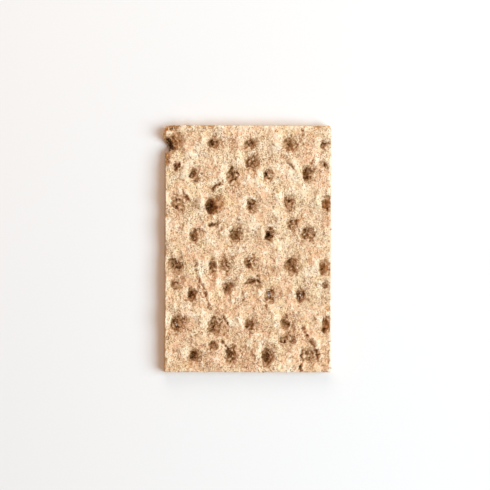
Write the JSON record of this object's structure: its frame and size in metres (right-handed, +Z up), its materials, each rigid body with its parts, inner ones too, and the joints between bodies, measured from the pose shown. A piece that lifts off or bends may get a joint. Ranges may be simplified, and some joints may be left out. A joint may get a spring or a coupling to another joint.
{
  "type": "rye crispbread",
  "caption": "Rectangular slice of baked rye crispbread, pricked with docking holes in staggered rows, with one corner chipped at a hole.",
  "frame": {"origin": "middle of the flat underside that the slice lies on", "axes": "+Y along the slice's length, +X across its width, +Z up out of the pricked top crust"},
  "size_m": [0.074, 0.11, 0.0068],
  "materials": {
    "rye_crust": "dry, floury, coarse-grained baked rye crust, matt all over"
  },
  "bodies": {
    "root": {"crispbread": "rye_crust"}
  },
  "joints": []
}
